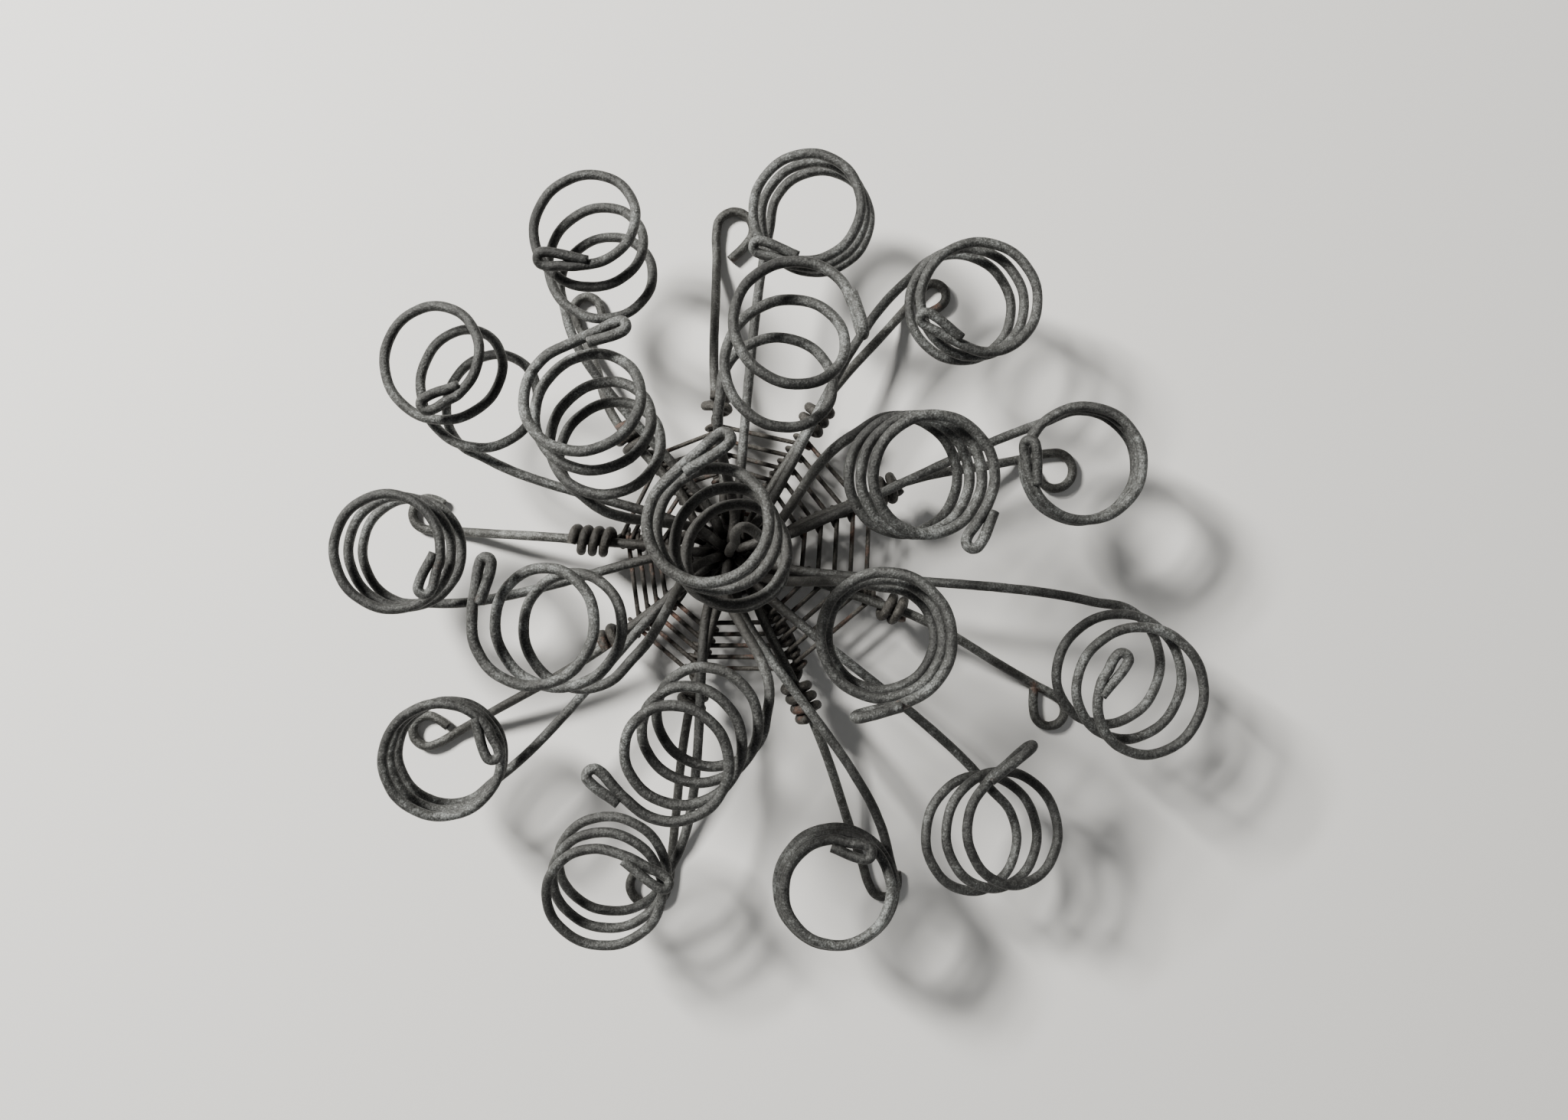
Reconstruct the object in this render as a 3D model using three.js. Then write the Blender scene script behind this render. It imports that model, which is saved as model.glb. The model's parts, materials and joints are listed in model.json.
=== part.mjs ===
// Wire flower holder. Nine hooked spokes and nine rods are tied at a hub, a thin wire web is
// woven on the rods, and eighteen wire arms carry spiral stem holders in three tiers.
// Millimetres. +Z runs along the hub towards the flowers and z = 0 is the surface it rests on.
import * as THREE from "three";

// Wire
const wireDiameter = 2.64;
const weftDiameter = 1.3;
const wireSides = 5;
const weftSides = 3;
const wireRadius = wireDiameter / 2;
const weftRadius = weftDiameter / 2;

// Hub: every wire turns down into one bundle of four rings, each flush at z = 0.
const ringRadii = { middle: 3.2, outer: 6.2, frame: 9.4 };
const hubBend = 4;
const webHeight = 8;
const spokeHeight = 13;
const outerArmHeight = 18.2;
const middleArmHeight = 22;

// A thin wire binds the bundle near its foot.
const bindingGap = 0.85;
const bindingRadius = ringRadii.frame + wireRadius + weftRadius + bindingGap;
const bindingFoot = 1;
const bindingTurns = 2;
const bindingSteps = 12;
const bindingPitch = weftDiameter + 0.4;

// Web
const webStart = 18;
const webRounds = 5;
const loopRadius = 2.6;
const loopSteps = 6;
const loopShift = 1.9;
const rodLead = 1.2;

// Rods wound round the spokes just outside the web
const wrapRadius = 3.05;
const wrapPitch = 3.05;
const wrapSteps = 7;

// Spokes run level past the windings, then slope down to lie flat before their hooks.
const spokeStart = 20;
const wrapMargin = 3;
const slopeEnd = 8;
const slopeRun = 8;
const slopeRise = 3.2;
const hookStep = 36;

// Coils, their folded tips and the arms that carry them
const stepsPerTurn = 9;
const tipLift = 0.3;
const foldRadius = 1.7;
const foldTurn = 190;
const foldSteps = 4;
const armSteps = 7;
const armStart = 0.2;
const armEnd = 0.28;

// The centre stem leans off the axis and crooks over to its coil: [reach, bearing, height].
const stemBends = [
  [0, 0, 0], [0, 0, 22], [1.6, 45, 36], [3.6, 44, 47],
  [5.9, 57, 53.5], [8, 48, 56.5], [9.2, 30, 58.5], [10.7, 9, 60.5],
];

// The nine frame pairs. bearing is where the rod is wound round the spoke, rod where the rod
// crosses the web and tip where the hook lies, all in degrees round the hub. web is how far out
// the web goes there, reach how far out the hook's bend starts, wrapAt where the rod starts
// winding and wraps how many times it goes round.
// hook: radius of the bend, degrees it turns (+ is anticlockwise from above), straight tail.
const frames = [
  { bearing: 175, rod: 172, tip: 175.6, web: 31, reach: 88, wrapAt: 33, wraps: 3.6,
    hook: [4.5, -200, 3] },
  { bearing: 131, rod: 128, tip: 123.5, web: 34.5, reach: 82, wrapAt: 38, wraps: 2.5, hook: [3.8, -190, 3] },
  { bearing: 95.5, rod: 97, tip: 92.8, web: 36, reach: 93, wrapAt: 39, wraps: 1.6, hook: [5.2, -225, 7] },
  { bearing: 58, rod: 57.5, tip: 54.2, web: 38, reach: 94, wrapAt: 40.5, wraps: 2.4, hook: [3.6, -200, 3] },
  { bearing: 22, rod: 19.5, tip: 17.4, web: 41, reach: 96, wrapAt: 43.5, wraps: 2.2, hook: [5.1, -250, 3] },
  { bearing: -19, rod: -18, tip: -24, web: 41.5, reach: 102, wrapAt: 44.5, wraps: 2.2,
    hook: [4.4, -240, 7] },
  { bearing: -64, rod: -60, tip: -67.6, web: 37.5, reach: 104, wrapAt: 40, wraps: 3.4, hook: [4, 165, 3] },
  { bearing: -104.6, rod: -107.5, tip: -101, web: 35.7, reach: 98, wrapAt: 38.5, wraps: 1.8,
    hook: [5.4, -215, 3] },
  { bearing: -143.5, rod: -142.5, tip: -147.2, web: 35.5, reach: 101.5, wrapAt: 38.5, wraps: 1.5,
    hook: [4.4, -245, 4] },
];

// The stem holders. bearing, reach and height place the middle of the coil. The coil climbs by
// rise while its turns drift sideways towards the bearing "toward", and its turns tilt that way.
// crowd gathers the drift into the middle turns, and the radius grows by flare from the first
// turn to the last. turns counts whole turns before the last part turn, swing shifts where the
// arm comes in, leave is where the wire leaves the coil for its folded tip. The tip runs on for
// lead, strays off the tangent (+ is outwards), folds over towards fold (0 is outwards, 90 is
// straight up, 180 is inwards) and comes back for back.
const holders = [
  { name: "outer_1", bearing: 114, reach: 86.5, height: 30, radius: 13.5, flare: 1.2,
    rise: 15, drift: 16, toward: 108, tilt: 12, crowd: 0.5, turns: 2, swing: -6,
    leave: 268, lead: 8, stray: 0, fold: 145, back: 11 },
  { name: "outer_2", bearing: 76, reach: 91.5, height: 30, radius: 14.2, flare: 0.6,
    rise: 16, drift: 5, toward: 175, tilt: 6, crowd: 0, turns: 2, swing: 10,
    leave: 256, lead: 8, stray: 0, fold: 145, back: 10 },
  { name: "outer_3", bearing: 46, reach: 91.5, height: 30, radius: 14.5, flare: 0,
    rise: 16, drift: 6.5, toward: 2, tilt: 4, crowd: 0, turns: 2, swing: 4,
    leave: 235, lead: 9, stray: 8, fold: 140, back: 10 },
  { name: "outer_4", bearing: 14, reach: 96, height: 30, radius: 14.8, flare: 0,
    rise: 13, drift: 1, toward: -174, tilt: 4, crowd: 0, turns: 2, swing: 15,
    leave: 192, lead: 7, stray: 0, fold: 150, back: 10 },
  { name: "outer_5", bearing: -17.5, reach: 109.6, height: 32, radius: 15.6, flare: 0,
    rise: 16, drift: 14, toward: -39, tilt: 8, crowd: 0, turns: 2, swing: 16,
    leave: 165, lead: 8, stray: -12, fold: 170, back: 10.5 },
  { name: "outer_6", bearing: -46.5, reach: 101.5, height: 28, radius: 14.8, flare: -0.4,
    rise: 15, drift: 14, toward: 25, tilt: 20, crowd: 0, turns: 2, swing: 6,
    leave: 128, lead: 13, stray: 0, fold: 90, back: 13 },
  { name: "outer_7", bearing: -72, reach: 92, height: 33, radius: 14.6, flare: -3,
    rise: 16, drift: 2.5, toward: 98, tilt: 6, crowd: 0, turns: 2, swing: 0,
    leave: 96, lead: 9, stray: -16, fold: 180, back: 8.5 },
  { name: "outer_8", bearing: -110, reach: 92, height: 29, radius: 14.8, flare: 0,
    rise: 16, drift: 8, toward: -100, tilt: 12, crowd: 0, turns: 2, swing: -4,
    leave: 62, lead: 11, stray: 0, fold: 130, back: 11.5 },
  { name: "outer_9", bearing: -144, reach: 91.5, height: 30, radius: 14.4, flare: 1.2,
    rise: 16, drift: 1, toward: -15, tilt: 5, crowd: 0, turns: 2, swing: 10,
    leave: 38, lead: 7, stray: -12, fold: 165, back: 10 },
  { name: "outer_10", bearing: 180, reach: 86, height: 30, radius: 14.6, flare: 0.9,
    rise: 16, drift: 4, toward: 180, tilt: 4, crowd: 0, turns: 2, swing: 5,
    leave: 355, lead: 8.5, stray: -10, fold: 170, back: 9 },
  { name: "outer_11", bearing: 147.4, reach: 82.2, height: 32, radius: 13.8, flare: 0,
    rise: 18, drift: 18, toward: 141, tilt: 10, crowd: 0.8, turns: 2, swing: 12,
    leave: 312, lead: 8, stray: -12, fold: 160, back: 9 },
  { name: "middle_1", bearing: 134.7, reach: 42.7, height: 59, radius: 13.3, flare: 0.8,
    rise: 17, drift: 13.5, toward: 112, tilt: 20, crowd: 0.7, turns: 3, swing: 0,
    leave: 98, lead: 11, stray: 15, fold: 170, back: 8 },
  { name: "middle_2", bearing: 72.5, reach: 49.5, height: 60, radius: 13.6, flare: 0.2,
    rise: 18, drift: 17.5, toward: 74, tilt: 16, crowd: 0.5, turns: 2, swing: 10,
    leave: 8, lead: 7, stray: 5, fold: 90, back: 9 },
  { name: "middle_3", bearing: 21.5, reach: 50, height: 59, radius: 14.1, flare: -0.6,
    rise: 17, drift: 8.5, toward: -8, tilt: 10, crowd: 0, turns: 3, swing: 10,
    leave: -35, lead: 8, stray: 0, fold: 15, back: 8.5 },
  { name: "middle_4", bearing: -27.7, reach: 43.2, height: 62, radius: 13.9, flare: 3.6,
    rise: 17, drift: 1, toward: 142, tilt: 5, crowd: 0, turns: 2, swing: 14,
    leave: 283, lead: 9, stray: 0, fold: 80, back: 9 },
  { name: "middle_5", bearing: -99, reach: 45.5, height: 58, radius: 13.2, flare: 0,
    rise: 15, drift: 15, toward: -130, tilt: 10, crowd: 0.4, turns: 3, swing: -4,
    leave: 214, lead: 8.5, stray: 8, fold: 15, back: 8.5 },
  { name: "middle_6", bearing: -155, reach: 43.5, height: 59, radius: 13.9, flare: 0,
    rise: 17, drift: 11, toward: 167, tilt: 10, crowd: 0.4, turns: 2, swing: 20,
    leave: 165, lead: 11, stray: 5, fold: 165, back: 9 },
];
// This one stands on the hub's own stem, and entry is where the stem bends into the coil.
const centreHolder = { name: "centre", bearing: 69, reach: 2.7, height: 73, radius: 12.7, flare: 1.8,
  rise: 20, drift: 9.6, toward: 127, tilt: 12, crowd: 1, turns: 3, entry: -22,
  leave: 120, lead: 12, stray: 10, fold: 170, back: 11 };

const zinc = { color: "#6f7579", roughness: 0.62, metalness: 0.55 };
const darkZinc = { color: "#4a4742", roughness: 0.75, metalness: 0.4 };
const rustyWire = { color: "#5b4436", roughness: 0.85, metalness: 0.25 };

const radians = THREE.MathUtils.degToRad;
const degrees = THREE.MathUtils.radToDeg;
const wrapDegrees = (angle) => THREE.MathUtils.euclideanModulo(angle, 360);

function polar(radius, bearing, z) {
  return new THREE.Vector3(radius * Math.cos(radians(bearing)), radius * Math.sin(radians(bearing)), z);
}

// A wire's centre line, followed from station to station.
class WirePath extends THREE.Curve {
  constructor(stations) {
    super();
    this.stations = stations;
    this.spans = stations.length - 1;
  }

  getPoint(t, target = new THREE.Vector3()) {
    const index = Math.min(Math.floor(t * this.spans + 1e-6), this.spans - 1);
    return target.lerpVectors(this.stations[index], this.stations[index + 1], t * this.spans - index);
  }

  getPointAt(u, target) {
    return this.getPoint(u, target);
  }

  // The section at a bend is square to the line that halves it.
  getTangentAt(u, target = new THREE.Vector3()) {
    const index = Math.round(u * this.spans);
    target.set(0, 0, 0);
    for (const span of [index - 1, index]) {
      if (span < 0 || span >= this.spans) continue;
      target.add(this.stations[span + 1].clone().sub(this.stations[span]).normalize());
    }
    return target.normalize();
  }
}

function wireMesh(name, stations, radius, sides, finish) {
  const corners = Array.from({ length: sides }, (_, i) => (i * 2 * Math.PI) / sides);
  const section = new THREE.Shape(
    corners.map((angle) => new THREE.Vector2(radius * Math.cos(angle), radius * Math.sin(angle)))
  );
  const path = new WirePath(stations);
  const geometry = new THREE.ExtrudeGeometry(section, { steps: path.spans, extrudePath: path });
  const mesh = new THREE.Mesh(geometry, new THREE.MeshStandardMaterial(finish));
  mesh.name = name;
  return mesh;
}

// Up out of the bundle and round the hub bend until the wire runs level at the given height.
function hubRise(ringRadius, slot, height) {
  const stations = [polar(ringRadius, slot, 0)];
  for (const turned of [0, 30, 60, 90]) {
    const out = ringRadius + hubBend * (1 - Math.cos(radians(turned)));
    stations.push(polar(out, slot, height - hubBend + hubBend * Math.sin(radians(turned))));
  }
  return stations;
}

// Nine pairs share the outer ring of the bundle: a rod, then its spoke.
const pairSlot = (index) => 168 - 40 * index;

function spokeRoute(frame, index) {
  const [hookRadius, hookTurn, tail] = frame.hook;
  const stations = hubRise(ringRadii.frame, pairSlot(index) + 10, spokeHeight);
  const wrapEnd = frame.wrapAt + frame.wraps * wrapPitch;
  for (const out of [spokeStart, frame.wrapAt - wrapMargin, wrapEnd + wrapMargin]) {
    stations.push(polar(out, frame.bearing, spokeHeight));
  }
  const bendStart = polar(frame.reach, frame.tip, wireRadius);
  const line = bendStart.clone().sub(stations[stations.length - 1]).setZ(0).normalize();
  const slopeTop = bendStart.clone().addScaledVector(line, -slopeEnd - slopeRun);
  stations.push(slopeTop.setZ(wireRadius + slopeRise), bendStart.clone().addScaledVector(line, -slopeEnd));
  const heading = degrees(Math.atan2(line.y, line.x));
  const side = heading + 90 * Math.sign(hookTurn);
  const centre = bendStart.clone().add(polar(hookRadius, side, 0));
  const bends = Math.ceil(Math.abs(hookTurn) / hookStep);
  for (let i = 0; i <= bends; i += 1) {
    const turned = side + 180 + (hookTurn * i) / bends;
    stations.push(centre.clone().add(polar(hookRadius, turned, 0)));
  }
  stations.push(stations[stations.length - 1].clone().add(polar(tail, heading + hookTurn, 0)));
  return stations;
}

function rodRoute(frame, index) {
  const stations = hubRise(ringRadii.frame, pairSlot(index) - 10, webHeight);
  for (const out of [webStart - rodLead, frame.web]) stations.push(polar(out, frame.rod, webHeight));
  const along = polar(1, frame.bearing, 0);
  const sideways = polar(1, frame.bearing + 90, 0);
  const steps = Math.round(frame.wraps * wrapSteps);
  for (let i = 0; i <= steps; i += 1) {
    const turned = radians((-360 * i) / wrapSteps - 90);
    const point = along.clone().multiplyScalar(frame.wrapAt + (wrapPitch * i) / wrapSteps);
    point.addScaledVector(sideways, wrapRadius * Math.cos(turned));
    point.z = spokeHeight + wrapRadius * Math.sin(turned);
    stations.push(point);
  }
  return stations;
}

// The weft runs rod to rod and takes one loop round each, further out on every round. Its last
// loop on a rod ends where the web does.
function weftRoute() {
  const stations = [];
  for (let i = 0; i < webRounds * frames.length; i += 1) {
    const { rod, web } = frames[i % frames.length];
    const lag = (i % frames.length) / frames.length;
    const out = webStart + ((web - webStart - loopShift) * i) / frames.length / (webRounds - 1 + lag);
    const sideways = polar(1, rod - 90, 0);
    for (let j = 0; j <= loopSteps; j += 1) {
      const turned = radians(90 - (360 * j) / loopSteps);
      const point = polar(out + (loopShift * j) / loopSteps, rod, 0);
      point.addScaledVector(sideways, loopRadius * Math.cos(turned));
      point.z = webHeight + loopRadius * Math.sin(turned);
      stations.push(point);
    }
  }
  return stations;
}

function bindingRoute() {
  return Array.from({ length: bindingTurns * bindingSteps + 1 }, (_, i) => {
    const climbed = (bindingPitch * i) / bindingSteps;
    return polar(bindingRadius, (360 * i) / bindingSteps, bindingFoot + weftRadius + climbed);
  });
}

// The coil's own axes: across and athwart lie in the plane of its turns, normal stands on it.
// Its line of centres starts at foot.
function coilFrame(holder) {
  const normal = polar(Math.sin(radians(holder.tilt)), holder.toward, Math.cos(radians(holder.tilt)));
  const across = new THREE.Vector3(1, 0, 0).addScaledVector(normal, -normal.x).normalize();
  const athwart = new THREE.Vector3().crossVectors(normal, across);
  const climb = polar(holder.drift, holder.toward, holder.rise);
  const foot = polar(holder.reach, holder.bearing, holder.height).addScaledVector(climb, -0.5);
  return { normal, across, athwart, foot };
}

function coilHeading(frame, angle) {
  return frame.across.clone().multiplyScalar(Math.cos(radians(angle)))
    .addScaledVector(frame.athwart, Math.sin(radians(angle)));
}

// The coil winds clockwise as it climbs, then the wire runs off it and folds back on itself.
function coilRoute(holder, entry) {
  const frame = coilFrame(holder);
  const swept = 360 * holder.turns + wrapDegrees(entry - holder.leave);
  const steps = Math.round((swept / 360) * stepsPerTurn);
  const stations = [];
  for (let i = 0; i <= steps; i += 1) {
    const along = i / steps;
    const drifted = along - (holder.crowd * Math.sin(2 * Math.PI * along)) / (2 * Math.PI);
    const centre = polar(holder.drift * drifted, holder.toward, holder.rise * along).add(frame.foot);
    const radius = holder.radius + holder.flare * (along - 0.5);
    stations.push(centre.addScaledVector(coilHeading(frame, entry - swept * along), radius));
  }
  const heading = holder.leave - 90 + holder.stray;
  const ahead = coilHeading(frame, heading)
    .addScaledVector(frame.normal, tipLift / holder.lead).normalize();
  const foldSide = coilHeading(frame, heading + 90).multiplyScalar(Math.cos(radians(holder.fold)))
    .addScaledVector(frame.normal, Math.sin(radians(holder.fold)));
  const runEnd = stations[stations.length - 1].clone();
  for (const half of [1, 2]) {
    runEnd.addScaledVector(ahead, holder.lead / 2);
    if (half === 1) stations.push(runEnd.clone());
  }
  for (let i = 0; i <= foldSteps; i += 1) {
    const turned = radians((foldTurn * i) / foldSteps);
    stations.push(runEnd.clone().addScaledVector(ahead, foldRadius * Math.sin(turned))
      .addScaledVector(foldSide, foldRadius * (1 - Math.cos(turned))));
  }
  const homeward = ahead.clone().multiplyScalar(Math.cos(radians(foldTurn)))
    .addScaledVector(foldSide, Math.sin(radians(foldTurn)));
  stations.push(stations[stations.length - 1].clone().addScaledVector(homeward, holder.back));
  return stations;
}

// An arm leaves the bundle, then sweeps out to meet its coil along the coil's own line.
function armRoute(holder, ringRadius, slot, height) {
  const rise = hubRise(ringRadius, slot, height);
  const entry = holder.bearing + 90 + holder.swing + degrees(Math.asin(holder.radius / holder.reach));
  const coil = coilRoute(holder, entry);
  const start = rise[rise.length - 1];
  const end = coil[0];
  const span = start.distanceTo(end);
  const arrival = coil[1].clone().sub(end).normalize();
  const sweep = new THREE.CubicBezierCurve3(
    start,
    start.clone().addScaledVector(polar(1, slot, 0), span * armStart),
    end.clone().addScaledVector(arrival, -span * armEnd),
    end
  );
  return [...rise, ...sweep.getPoints(armSteps).slice(1, -1), ...coil];
}

function centreRoute(holder) {
  const stem = stemBends.map(([reach, bearing, height]) => polar(reach, bearing, height));
  return [...stem, ...coilRoute(holder, holder.entry)];
}

const holderWire = new THREE.Group();

frames.forEach((frame, index) => {
  const number = index + 1;
  holderWire.add(wireMesh(`spoke_${number}`, spokeRoute(frame, index), wireRadius, wireSides, zinc));
  holderWire.add(wireMesh(`rod_${number}`, rodRoute(frame, index), wireRadius, wireSides, darkZinc));
});
holderWire.add(wireMesh("web", weftRoute(), weftRadius, weftSides, rustyWire));
holderWire.add(wireMesh("hub_binding", bindingRoute(), weftRadius, weftSides, rustyWire));

const outerHolders = holders.filter((holder) => holder.name.startsWith("outer"));
const middleHolders = holders.filter((holder) => holder.name.startsWith("middle"));
outerHolders.forEach((holder, index) => {
  const slot = 114 - (index * 360) / outerHolders.length;
  const route = armRoute(holder, ringRadii.outer, slot, outerArmHeight);
  holderWire.add(wireMesh(`holder_${holder.name}`, route, wireRadius, wireSides, zinc));
});
middleHolders.forEach((holder, index) => {
  const slot = 140 - (index * 360) / middleHolders.length;
  const route = armRoute(holder, ringRadii.middle, slot, middleArmHeight);
  holderWire.add(wireMesh(`holder_${holder.name}`, route, wireRadius, wireSides, zinc));
});
const centre = centreRoute(centreHolder);
holderWire.add(wireMesh("holder_centre", centre, wireRadius, wireSides, zinc));

export default holderWire;
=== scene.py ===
import json

import bmesh
import bpy
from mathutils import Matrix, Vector


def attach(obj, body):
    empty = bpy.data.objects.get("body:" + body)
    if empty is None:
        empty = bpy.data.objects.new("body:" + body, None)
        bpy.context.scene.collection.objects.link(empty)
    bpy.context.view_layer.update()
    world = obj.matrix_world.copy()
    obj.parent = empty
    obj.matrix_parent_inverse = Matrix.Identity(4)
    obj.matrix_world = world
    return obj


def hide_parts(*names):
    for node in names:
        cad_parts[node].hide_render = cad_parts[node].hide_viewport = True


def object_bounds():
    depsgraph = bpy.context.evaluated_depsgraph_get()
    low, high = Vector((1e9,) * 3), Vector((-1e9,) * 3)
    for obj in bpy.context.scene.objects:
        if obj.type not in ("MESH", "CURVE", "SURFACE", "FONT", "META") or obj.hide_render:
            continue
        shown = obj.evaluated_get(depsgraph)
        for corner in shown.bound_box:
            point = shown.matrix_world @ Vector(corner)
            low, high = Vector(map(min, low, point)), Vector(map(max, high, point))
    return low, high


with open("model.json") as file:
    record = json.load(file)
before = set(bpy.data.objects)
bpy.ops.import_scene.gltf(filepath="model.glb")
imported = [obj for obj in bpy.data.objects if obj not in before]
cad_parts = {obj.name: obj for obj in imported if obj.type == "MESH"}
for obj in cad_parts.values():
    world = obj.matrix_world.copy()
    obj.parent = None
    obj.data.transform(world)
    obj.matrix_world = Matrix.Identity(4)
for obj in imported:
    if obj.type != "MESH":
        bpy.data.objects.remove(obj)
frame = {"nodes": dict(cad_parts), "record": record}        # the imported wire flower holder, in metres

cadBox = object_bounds()
print("frame loaded:", len(frame["nodes"]), "wires")

# every wire follows the middle of its bar in the frame
wireMake = {
    "thick": 0.00264,       # main wire, across
    "thin": 0.0013,         # the web's and the binding's wire
    "barReach": 0.012,      # the bundle at the hub lies within this of the axis
    "barCut": 0.00001,      # a cut end at the hub is level to within this
    "barMerge": 0.000001,
    "shellMerge": 0.0000001,
    "roundness": 4,         # resolution of the wire's section
    "stepsPerSpan": 11,
    "straightSpan": 0.006,  # the thin wire is pulled straight over anything longer
    "cutEdge": 0.00022,
    "cutSegments": 2,
    "endFade": 0.006,       # how far rust creeps back from a cut end
    "lump": 0.00016,        # how far the zinc's runs and lumps stand out
    "lumpSize": 0.0042,
    "lumpDepth": 3,
    "grain": 0.00005,
    "grainSize": 0.0011,
    "grainDepth": 2,
}
thinSlots = ("weft_wire", "binding_wire")


def deselectAll():
    bpy.ops.object.select_all(action="DESELECT")


def makeActive(thing):
    deselectAll()
    thing.select_set(True)
    bpy.context.view_layer.objects.active = thing


def mergedBar(nodeName):
    bar = bmesh.new()
    bar.from_mesh(frame["nodes"][nodeName].data)
    bmesh.ops.remove_doubles(bar, verts=bar.verts, dist=wireMake["barMerge"])
    bar.verts.ensure_lookup_table()
    return bar


def hubEnd(bar):
    # the cut end at the foot of the hub
    lowest = min(corner.co.z for corner in bar.verts)
    return [corner for corner in bar.verts
            if corner.co.z < lowest + wireMake["barCut"] and corner.co.xy.length < wireMake["barReach"]]


def freeEnd(bar):
    # a three-sided bar's six end corners have fewer than six edges each; the nearest end is wanted
    corners = [corner for corner in bar.verts if len(corner.link_edges) < 6]
    first = min(corners, key=lambda corner: (round(corner.co.xy.length, 5), corner.co.z, corner.index))
    return sorted(corners, key=lambda corner: (corner.co - first.co).length)[:3]


def centreLine(nodeName, findEnd):
    # from one end, each ring of corners leads to the next
    bar = mergedBar(nodeName)
    ring = sorted(findEnd(bar), key=lambda corner: corner.index)
    seen = set(ring)
    line = []
    while ring:
        line.append(sum((corner.co for corner in ring), Vector()) / len(ring))
        following = {edge.other_vert(corner) for corner in ring for edge in corner.link_edges}
        ring = sorted(following - seen, key=lambda corner: corner.index)
        seen.update(ring)
    bar.free()
    return line


def pullStraight(points):
    for point, following in zip(points, points[1:]):
        if (following.co - point.co).length > wireMake["straightSpan"]:
            point.handle_right_type = following.handle_left_type = "VECTOR"


def wireCurve(name, line, thickness):
    bpy.ops.curve.primitive_bezier_curve_add(location=(0, 0, 0))
    wire = bpy.context.object
    wire.name = wire.data.name = name
    spline = wire.data.splines[0]
    spline.bezier_points.add(len(line) - len(spline.bezier_points))
    for point, place in zip(spline.bezier_points, line):
        point.co = place
        point.handle_left_type = point.handle_right_type = "AUTO"
    if thickness == wireMake["thin"]:
        pullStraight(spline.bezier_points)
    wire.data.resolution_u = wireMake["stepsPerSpan"]
    wire.data.bevel_depth = thickness / 2
    wire.data.bevel_resolution = wireMake["roundness"]
    wire.data.use_fill_caps = True
    return wire


def softenCutEnds(wire):
    # snipped ends: flat, with a small worn edge
    makeActive(wire)
    bpy.ops.object.mode_set(mode="EDIT")
    shell = bmesh.from_edit_mesh(wire.data)
    bmesh.ops.remove_doubles(shell, verts=shell.verts, dist=wireMake["shellMerge"])
    for face in shell.faces:
        face.select = len(face.verts) > 4      # only the caps have more than four corners
    shell.select_flush_mode()
    bmesh.update_edit_mesh(wire.data)
    bpy.ops.mesh.select_mode(type="FACE")
    bpy.ops.mesh.bevel(offset=wireMake["cutEdge"], segments=wireMake["cutSegments"], affect="EDGES")
    bpy.ops.mesh.select_all(action="SELECT")
    bpy.ops.mesh.normals_make_consistent(inside=False)
    bpy.ops.object.mode_set(mode="OBJECT")


def lumpTexture(name, size, depth):
    texture = bpy.data.textures.new(name, "CLOUDS")
    texture.noise_scale = size
    texture.noise_depth = depth
    return texture


lumps = lumpTexture("zincLumps", wireMake["lumpSize"], wireMake["lumpDepth"])
grain = lumpTexture("zincGrain", wireMake["grainSize"], wireMake["grainDepth"])


def roughen(wire, texture, strength):
    makeActive(wire)
    bpy.ops.object.modifier_add(type="DISPLACE")
    displace = wire.modifiers[-1]
    displace.texture = texture
    displace.texture_coords = "LOCAL"
    displace.mid_level = 0.5
    displace.strength = strength
    bpy.ops.object.modifier_apply(modifier=displace.name)


def markEnds(wire, line):
    # 1 at the wire's outer cut end, fading to 0 along it
    nearEnd = wire.data.attributes.new("nearEnd", "FLOAT", "POINT")
    for index, corner in enumerate(wire.data.vertices):
        away = (corner.co - line[-1]).length
        nearEnd.data[index].value = max(0.0, 1.0 - away / wireMake["endFade"])


def makeWire(nodeName, pieceName, material, thickness, findEnd):
    deselectAll()
    line = centreLine(nodeName, findEnd)
    wire = wireCurve(pieceName, line, thickness)
    makeActive(wire)
    bpy.ops.object.convert(target="MESH")
    wire = bpy.context.object
    softenCutEnds(wire)
    share = thickness / wireMake["thick"]
    roughen(wire, lumps, wireMake["lump"] * share)
    roughen(wire, grain, wireMake["grain"] * share)
    markEnds(wire, line)
    makeActive(wire)
    bpy.ops.object.shade_smooth()
    wire.data.materials.clear()
    wire.data.materials.append(material)
    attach(wire, "root")
    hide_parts(nodeName)


# dark, mid and light are the zinc's own shades; rust and chalk say how much of each lies on it
holderZinc = {
    "dark": (0.018, 0.018, 0.017), "mid": (0.066, 0.067, 0.063), "light": (0.235, 0.245, 0.238),
    "shift": 0.475, "rust": 0.10, "chalk": 0.55, "metal": 0.45, "bump": 0.8,
}
spokeZinc = {
    "dark": (0.017, 0.016, 0.014), "mid": (0.060, 0.060, 0.055), "light": (0.20, 0.205, 0.195),
    "shift": 0.475, "rust": 0.10, "chalk": 0.35, "metal": 0.45, "bump": 0.7,
}
rodZinc = {
    "dark": (0.010, 0.009, 0.007), "mid": (0.036, 0.033, 0.028), "light": (0.12, 0.115, 0.103),
    "shift": 0.46, "rust": 0.45, "chalk": 0.16, "metal": 0.35, "bump": 0.95,
}
weftZinc = {
    "dark": (0.015, 0.012, 0.009), "mid": (0.046, 0.041, 0.034), "light": (0.12, 0.113, 0.10),
    "shift": 0.46, "rust": 0.85, "chalk": 0.14, "metal": 0.30, "bump": 0.95,
}
# painted shade with dirt: how far and how much the zinc darkens round the hub
hubDirtAndShade = {
    "full": 0.016, "gone": 0.040,       # distances from the hub
    "squash": 0.35,                     # height counts for this much of the distance
    "least": 0.25, "patches": 0.9, "shade": (0.020, 0.017, 0.014),
}
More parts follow.
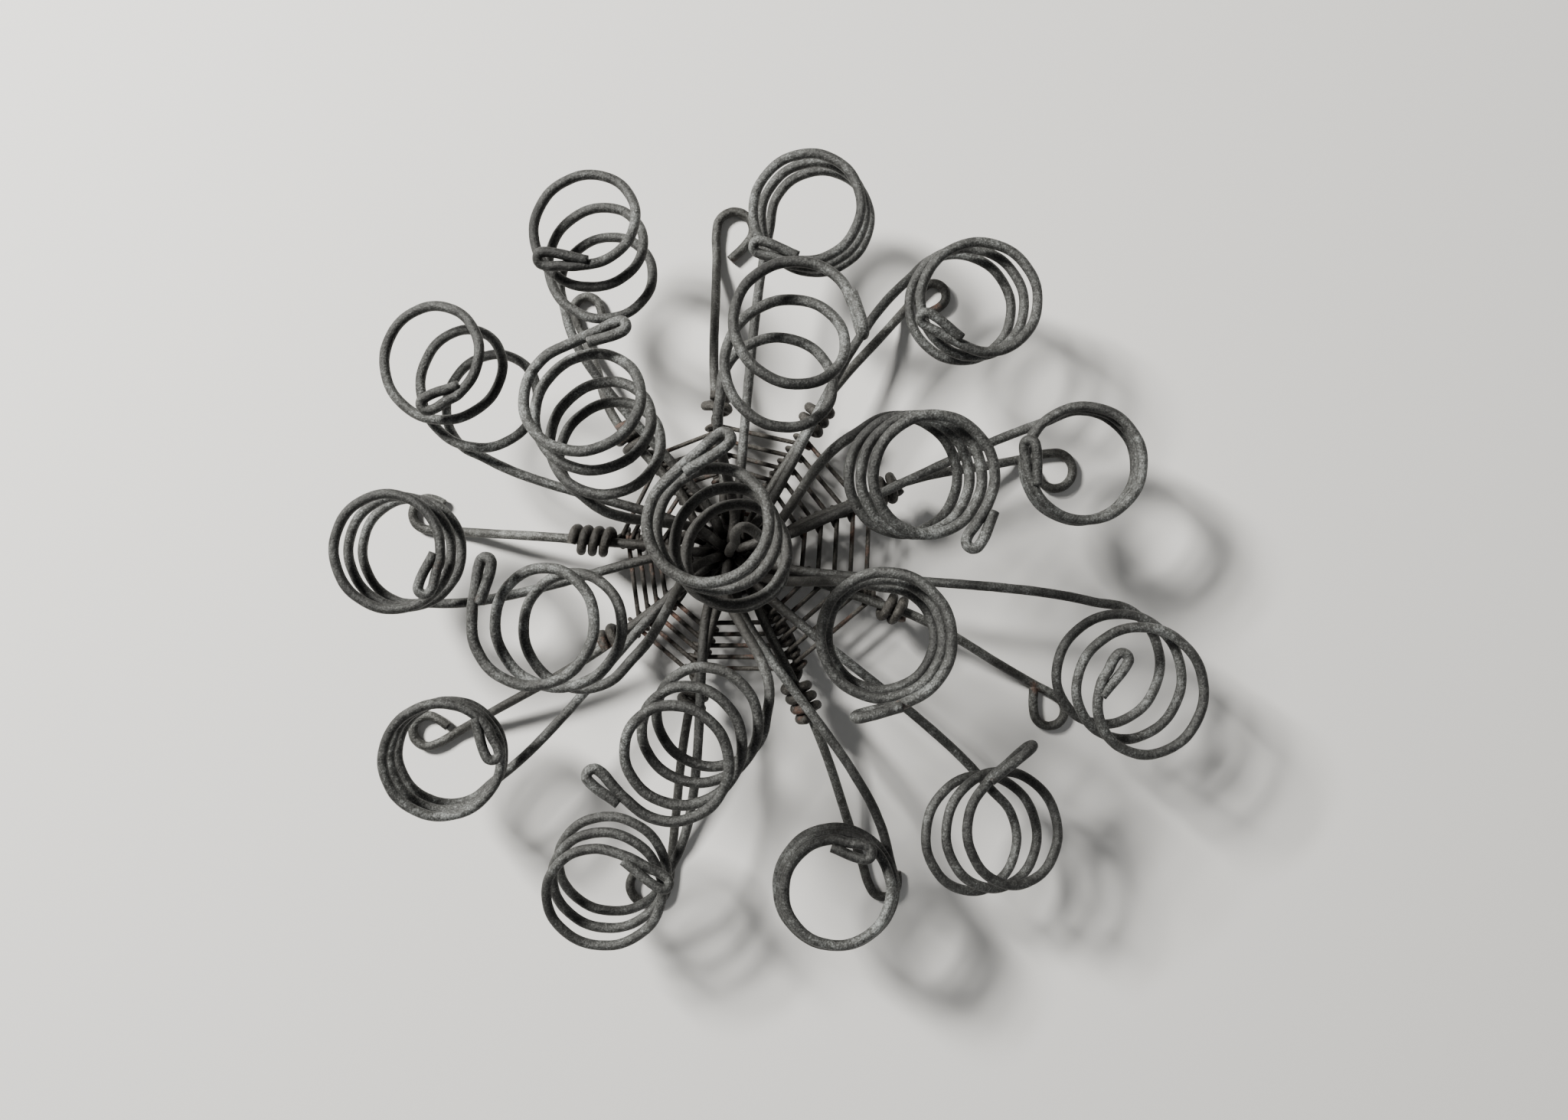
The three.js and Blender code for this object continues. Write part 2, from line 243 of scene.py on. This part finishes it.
rustLook = {
    "scale": 95, "detail": 8, "roughness": 0.68, "distortion": 0.4, "endShare": 0.14,
    "start": 0.69, "full": 0.78, "reach": 0.17,
    "stops": [(0.36, (0.030, 0.015, 0.010)), (0.62, (0.105, 0.050, 0.030))],
}
chalkLook = {
    "scale": 230, "detail": 12, "roughness": 0.80, "distortion": 0.9,
    "start": 0.73, "full": 0.78, "reach": 0.14, "shade": (0.58, 0.60, 0.59),
}
# the zinc's three patterns: scale, detail, roughness and share of the tone
broadPattern = {"scale": 42, "detail": 2, "roughness": 0.55, "share": 0.34}
mottlePattern = {"scale": 420, "detail": 6, "roughness": 0.62, "share": 0.26}
specklePattern = {"scale": 2300, "detail": 5, "roughness": 0.66, "share": 0.40}
toneSpread = 0.10       # how far apart dark, mid and light stand in the pattern
glossLook = {"least": 0.36, "mottled": 0.36}
reliefLook = {"pitScale": 950, "speckle": 0.6, "mottle": 0.7, "pits": 0.25, "depth": 0.0005}


class NodeTray:
    # lays out a material's nodes and joins them
    def __init__(self, name):
        self.material = bpy.data.materials.new(name)
        self.material.use_nodes = True
        self.tree = self.material.node_tree
        self.shader = self.tree.nodes["Principled BSDF"]
        self.place = self.add("ShaderNodeTexCoord").outputs["Object"]

    def add(self, kind, **settings):
        node = self.tree.nodes.new(kind)
        for key, value in settings.items():
            setattr(node, key, value)
        return node

    def join(self, start, end):
        self.tree.links.new(start, end)

    def noise(self, pattern):
        node = self.add("ShaderNodeTexNoise")
        self.join(self.place, node.inputs["Vector"])
        node.inputs["Scale"].default_value = pattern["scale"]
        node.inputs["Detail"].default_value = pattern["detail"]
        node.inputs["Roughness"].default_value = pattern["roughness"]
        node.inputs["Distortion"].default_value = pattern.get("distortion", 0.0)
        return node.outputs["Fac"]

    def math(self, operation, first, second):
        node = self.add("ShaderNodeMath", operation=operation)
        for socket, value in zip(node.inputs, (first, second)):
            if isinstance(value, (int, float)):
                socket.default_value = value
            else:
                self.join(value, socket)
        return node.outputs[0]

    def ramp(self, source, stops):
        node = self.add("ShaderNodeValToRGB")
        self.join(source, node.inputs["Fac"])
        elements = node.color_ramp.elements
        while len(elements) < len(stops):
            elements.new(0.5)
        for element, (position, shade) in zip(elements, stops):
            element.position = position
            element.color = (*shade, 1.0)
        return node.outputs["Color"]

    def mask(self, source, low, high):
        node = self.add("ShaderNodeMapRange")
        node.clamp = True
        self.join(source, node.inputs["Value"])
        node.inputs["From Min"].default_value = low
        node.inputs["From Max"].default_value = high
        return node.outputs["Result"]

    def blend(self, weighted):
        # adds the sources up, each times its own share
        total = None
        for source, share in weighted:
            part = self.math("MULTIPLY", source, share)
            total = part if total is None else self.math("ADD", total, part)
        return total

    def mix(self, share, first, second):
        node = self.add("ShaderNodeMix", data_type="RGBA")
        self.join(share, node.inputs[0])
        for socket, value in ((node.inputs[6], first), (node.inputs[7], second)):
            if isinstance(value, tuple):
                socket.default_value = (*value, 1.0)
            else:
                self.join(value, socket)
        return node.outputs[2]


def hubGrimeAndShade(tray, patches):
    # the colour darkens round the hub, where the wires crowd together: partly real dirt, partly painted
    # shade of the wires shading each other
    flat = tray.add("ShaderNodeMapping")
    tray.join(tray.place, flat.inputs["Vector"])
    flat.inputs["Scale"].default_value = (1.0, 1.0, hubDirtAndShade["squash"])
    reach = tray.add("ShaderNodeVectorMath", operation="LENGTH")
    tray.join(flat.outputs["Vector"], reach.inputs[0])
    nearness = tray.mask(reach.outputs["Value"], hubDirtAndShade["gone"], hubDirtAndShade["full"])
    patched = tray.math("ADD", hubDirtAndShade["least"], tray.math("MULTIPLY", patches, hubDirtAndShade["patches"]))
    return tray.math("MULTIPLY", nearness, patched)


def coverMask(tray, field, cover, amount):
    # the more there is of it, the sooner it shows
    lowered = cover["reach"] * amount
    return tray.mask(field, cover["start"] - lowered, cover["full"] - lowered)


def weatheredZinc(name, look):
    tray = NodeTray(name)
    broad = tray.noise(broadPattern)
    mottle = tray.noise(mottlePattern)
    speckle = tray.noise(specklePattern)
    tone = tray.blend([
        (broad, broadPattern["share"]),
        (mottle, mottlePattern["share"]),
        (speckle, specklePattern["share"]),
    ])
    middle = 1.0 - look["shift"]
    low, high = middle - toneSpread, middle + toneSpread
    zinc = tray.ramp(tone, [(low, look["dark"]), (middle, look["mid"]), (high, look["light"])])
    # painted shade with dirt: the zinc darkens towards the hub
    zinc = tray.mix(hubGrimeAndShade(tray, mottle), zinc, hubDirtAndShade["shade"])

    nearEnd = tray.add("ShaderNodeAttribute", attribute_name="nearEnd").outputs["Fac"]
    endRust = tray.math("MULTIPLY", nearEnd, rustLook["endShare"])
    rustField = tray.math("ADD", tray.noise(rustLook), endRust)
    rustMask = coverMask(tray, rustField, rustLook, look["rust"])
    coat = tray.mix(rustMask, zinc, tray.ramp(speckle, rustLook["stops"]))

    chalkMask = coverMask(tray, tray.noise(chalkLook), chalkLook, look["chalk"])
    coat = tray.mix(chalkMask, coat, chalkLook["shade"])
    tray.join(coat, tray.shader.inputs["Base Color"])

    bare = tray.math("SUBTRACT", 1.0, tray.math("MAXIMUM", rustMask, chalkMask))
    tray.join(tray.math("MULTIPLY", bare, look["metal"]), tray.shader.inputs["Metallic"])
    rough = tray.math("ADD", glossLook["least"], tray.math("MULTIPLY", mottle, glossLook["mottled"]))
    tray.join(rough, tray.shader.inputs["Roughness"])

    pits = tray.add("ShaderNodeTexVoronoi")
    tray.join(tray.place, pits.inputs["Vector"])
    pits.inputs["Scale"].default_value = reliefLook["pitScale"]
    height = tray.blend([
        (speckle, reliefLook["speckle"]), (mottle, reliefLook["mottle"]),
        (pits.outputs["Distance"], reliefLook["pits"]),
    ])
    bump = tray.add("ShaderNodeBump")
    bump.inputs["Strength"].default_value = look["bump"]
    bump.inputs["Distance"].default_value = reliefLook["depth"]
    tray.join(height, bump.inputs["Height"])
    tray.join(bump.outputs["Normal"], tray.shader.inputs["Normal"])
    return tray.material


finishes = {
    "holder_wire": weatheredZinc("holderZinc", holderZinc),
    "spoke_wire": weatheredZinc("spokeZinc", spokeZinc),
    "rod_wire": weatheredZinc("rodZinc", rodZinc),
    "weft_wire": weatheredZinc("weftZinc", weftZinc),
    "binding_wire": weatheredZinc("bindingZinc", weftZinc),
}
print("finishes mixed")

slots = {part["node"]: part["material_slot"] for part in frame["record"]["subparts"]}
for nodeName in sorted(frame["nodes"]):
    slotName = slots[nodeName]
    thin = slotName in thinSlots
    makeWire(
        nodeName, "wire_" + nodeName, finishes[slotName],
        wireMake["thin"] if thin else wireMake["thick"], freeEnd if thin else hubEnd,
    )
print("wires drawn")


floorLook = {"size": 4.0, "drop": 0.0002, "color": (0.72, 0.71, 0.685), "roughness": 0.75}


def floorPaint():
    tray = NodeTray("paleFloor")
    tray.shader.inputs["Base Color"].default_value = (*floorLook["color"], 1.0)
    tray.shader.inputs["Roughness"].default_value = floorLook["roughness"]
    return tray.material


def makeFloor():
    deselectAll()
    bpy.ops.mesh.primitive_plane_add(size=floorLook["size"], location=(0, 0, 0))
    floor = bpy.context.object
    floor.name = "floor"
    for corner in floor.data.vertices:
        corner.co.z = cadBox[0].z - floorLook["drop"]
    floor.data.materials.append(floorPaint())


lightLook = {
    "key": {"place": (-0.80, 0.62, 0.85), "size": 0.26, "power": 50.0, "color": (1.0, 0.985, 0.95)},
    "fill": {"place": (0.8, -0.7, 1.0), "size": 1.6, "power": 2.5, "color": (0.95, 0.97, 1.0)},
    "sky": (0.90, 0.91, 0.92),
    "skyPower": 0.15,
}


def makeLight(name, look):
    bpy.ops.object.light_add(type="AREA", location=look["place"])
    lamp = bpy.context.object
    lamp.name = name
    lamp.rotation_euler = (-Vector(look["place"])).to_track_quat("-Z", "Y").to_euler()
    lamp.data.shape = "SQUARE"
    lamp.data.size = look["size"]
    lamp.data.energy = look["power"]
    lamp.data.color = look["color"]


view = {"place": (0.0148, -0.002, 0.340), "lens": 27.04, "clipStart": 0.01}


def makeCamera():
    bpy.ops.object.camera_add(location=view["place"], rotation=(0, 0, 0))
    camera = bpy.context.object
    camera.data.lens = view["lens"]
    camera.data.clip_start = view["clipStart"]
    bpy.context.scene.camera = camera


def makeSky():
    world = bpy.data.worlds.new("studio")
    world.use_nodes = True
    background = world.node_tree.nodes["Background"]
    background.inputs["Color"].default_value = (*lightLook["sky"], 1.0)
    background.inputs["Strength"].default_value = lightLook["skyPower"]
    bpy.context.scene.world = world


makeFloor()
makeLight("keyLight", lightLook["key"])
makeLight("fillLight", lightLook["fill"])
makeCamera()
makeSky()
print("floor, lights and camera set")
